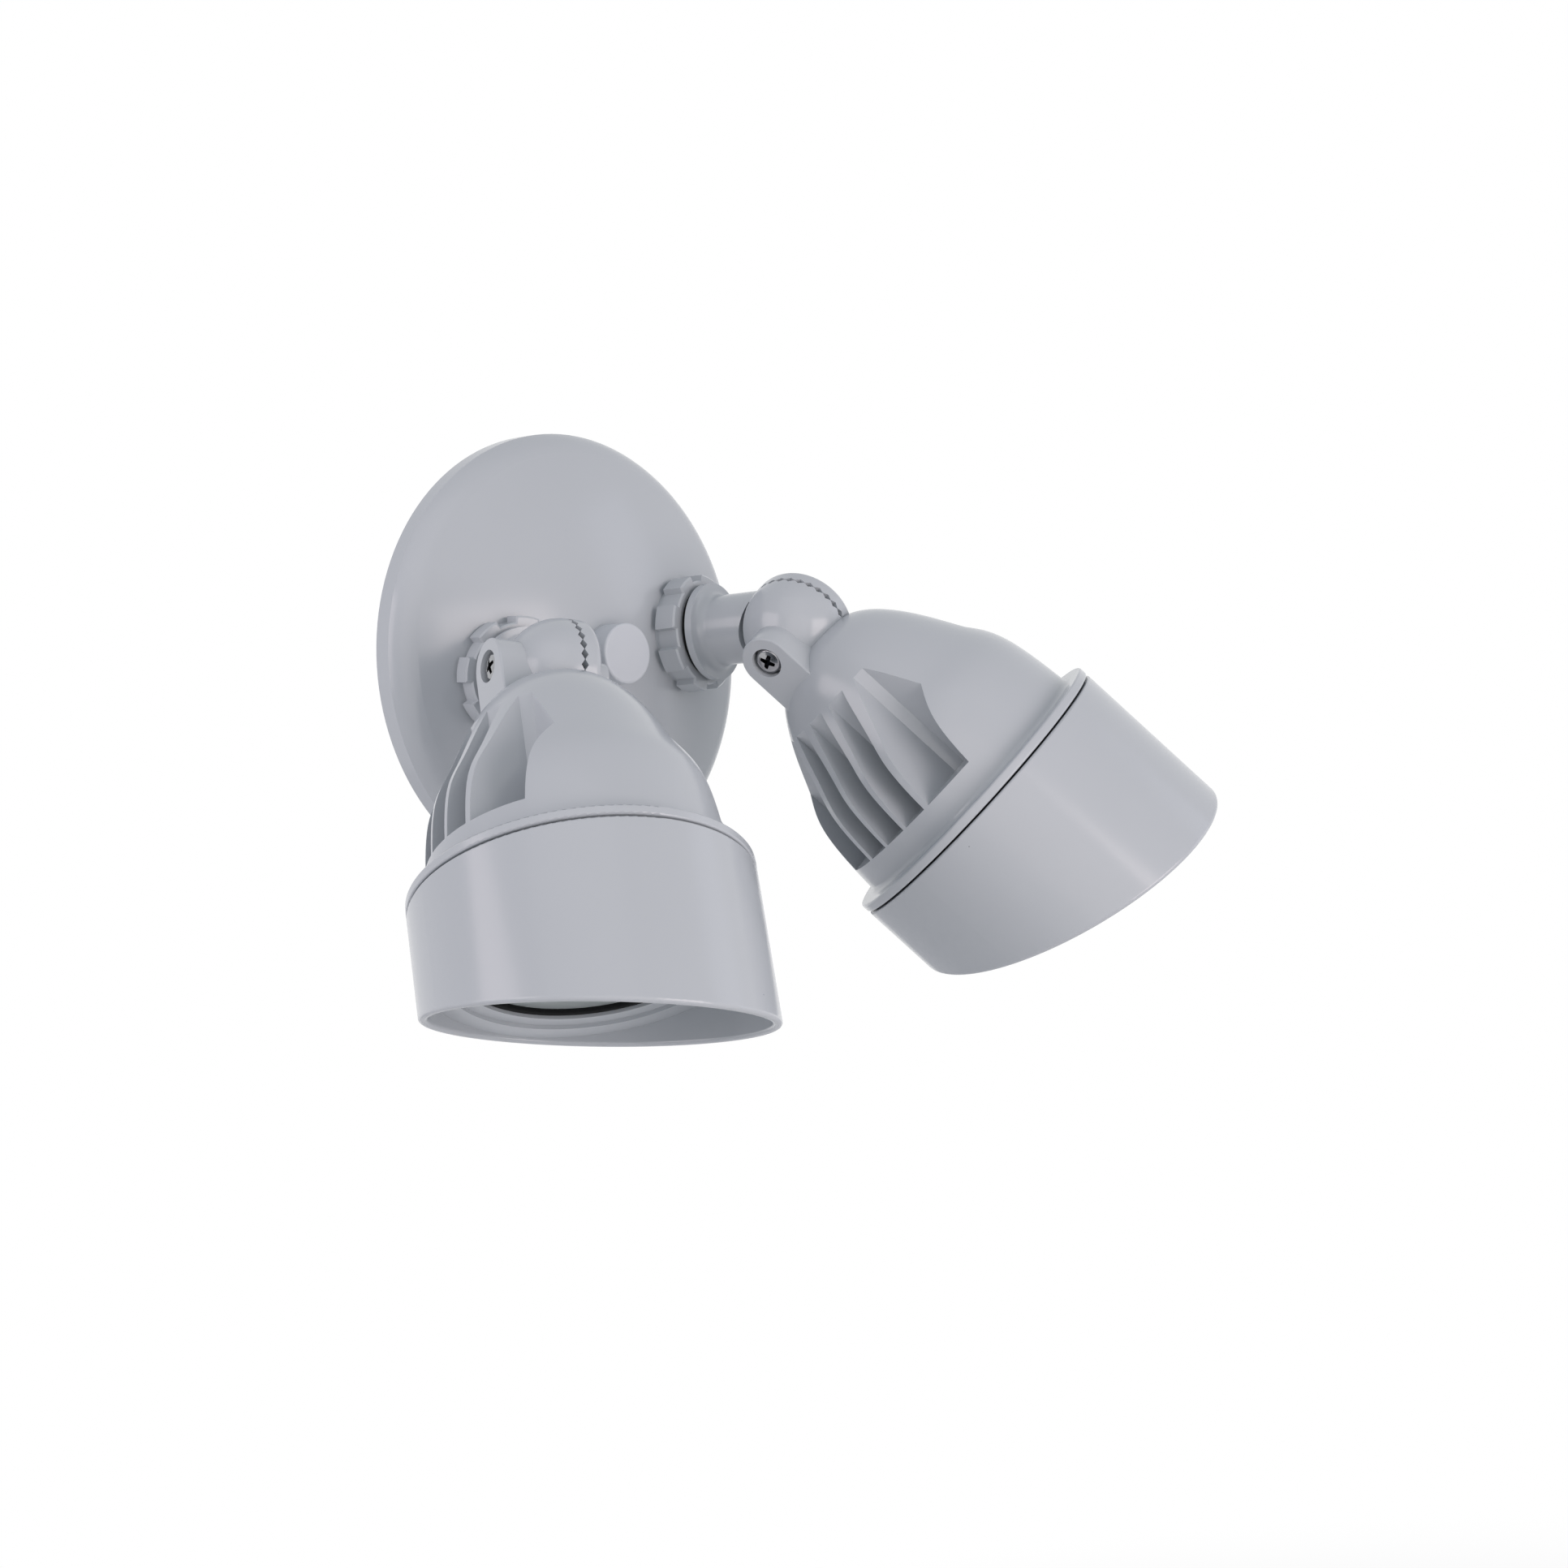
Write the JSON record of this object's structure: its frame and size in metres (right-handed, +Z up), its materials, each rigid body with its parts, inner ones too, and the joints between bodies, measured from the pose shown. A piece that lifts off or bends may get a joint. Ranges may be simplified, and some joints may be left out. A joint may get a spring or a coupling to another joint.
{
  "type": "outdoor floodlight",
  "caption": "Wall-mounted outdoor floodlight: hooded, finned bullet lamp heads on swivel knuckle arms that turn and tilt on a round domed canopy.",
  "frame": {"origin": "centre of the canopy's back plane, midway between the strap's slots", "axes": "+Y into the wall, +Z up, +X to the right as seen from the front"},
  "size_m": [0.2677, 0.1689, 0.1728],
  "materials": {
    "painted_casting": "light grey powder coat on die-cast aluminium",
    "plug_plastic": "moulded, light grey",
    "black_rubber": "matt",
    "zinc_steel": "zinc plated",
    "earth_screw": "green dyed zinc",
    "stainless_steel": "bright",
    "clear_lens": "clear tempered",
    "board_metal": "white solder mask",
    "led_phosphor": "phosphor",
    "bright_reflector": "bright",
    "driver_case": "potted"
  },
  "bodies": {
    "wall_base": {"canopy": "painted_casting", "canopy_gasket": "black_rubber", "crossbar": "zinc_steel", "mounting_bolt": "zinc_steel", "bolt_plug": "plug_plastic", "ground_screw": "earth_screw"},
    "nut_left": {"lock_nut_left": "painted_casting"},
    "stem_left": {"arm_left": "painted_casting", "stem_gasket_left": "black_rubber", "knuckle_screw_left": "stainless_steel", "knuckle_washer_left": "stainless_steel", "knuckle_o_ring_left": "black_rubber"},
    "lamp_left": {"housing_left": "painted_casting", "visor_left": "painted_casting", "visor_gasket_left": "black_rubber", "lens_left": "clear_lens", "lens_gasket_left": "black_rubber", "led_board_left": "board_metal", "led_array_left": "led_phosphor", "board_screws_left": "stainless_steel", "reflector_left": "bright_reflector", "driver_left": "driver_case"},
    "nut_right": {"lock_nut_right": "painted_casting"},
    "stem_right": {"arm_right": "painted_casting", "stem_gasket_right": "black_rubber", "knuckle_screw_right": "stainless_steel", "knuckle_washer_right": "stainless_steel", "knuckle_o_ring_right": "black_rubber"},
    "lamp_right": {"housing_right": "painted_casting", "visor_right": "painted_casting", "visor_gasket_right": "black_rubber", "lens_right": "clear_lens", "lens_gasket_right": "black_rubber", "led_board_right": "board_metal", "led_array_right": "led_phosphor", "board_screws_right": "stainless_steel", "reflector_right": "bright_reflector", "driver_right": "driver_case"}
  },
  "joints": [
    {"name": "pan_left", "type": "hinge", "parent": "wall_base", "child": "stem_left", "pos_m": [-0.03719, -0.02957, 0], "axis": [-0.2689, -0.9632, 0], "range_deg": [-150, 30]},
    {"name": "tilt_left", "type": "hinge", "parent": "stem_left", "child": "lamp_left", "pos_m": [-0.04587, -0.06068, 0], "axis": [-0.9181, 0.2563, 0.3024], "range_deg": [-30, 120]},
    {"name": "lock_nut_turn_left", "type": "hinge", "parent": "wall_base", "child": "nut_left", "pos_m": [-0.03719, -0.02957, 0], "axis": [-0.2689, -0.9632, 0], "range_deg": [0, 40]},
    {"name": "pan_right", "type": "hinge", "parent": "wall_base", "child": "stem_right", "pos_m": [0.03719, -0.02957, 0], "axis": [0.2689, -0.9632, 0], "range_deg": [-30, 150]},
    {"name": "tilt_right", "type": "hinge", "parent": "stem_right", "child": "lamp_right", "pos_m": [0.04587, -0.06068, 0], "axis": [-0.9085, -0.2537, -0.3322], "range_deg": [-30, 120]},
    {"name": "lock_nut_turn_right", "type": "hinge", "parent": "wall_base", "child": "nut_right", "pos_m": [0.03719, -0.02957, 0], "axis": [0.2689, -0.9632, 0], "range_deg": [0, 40]}
  ]
}
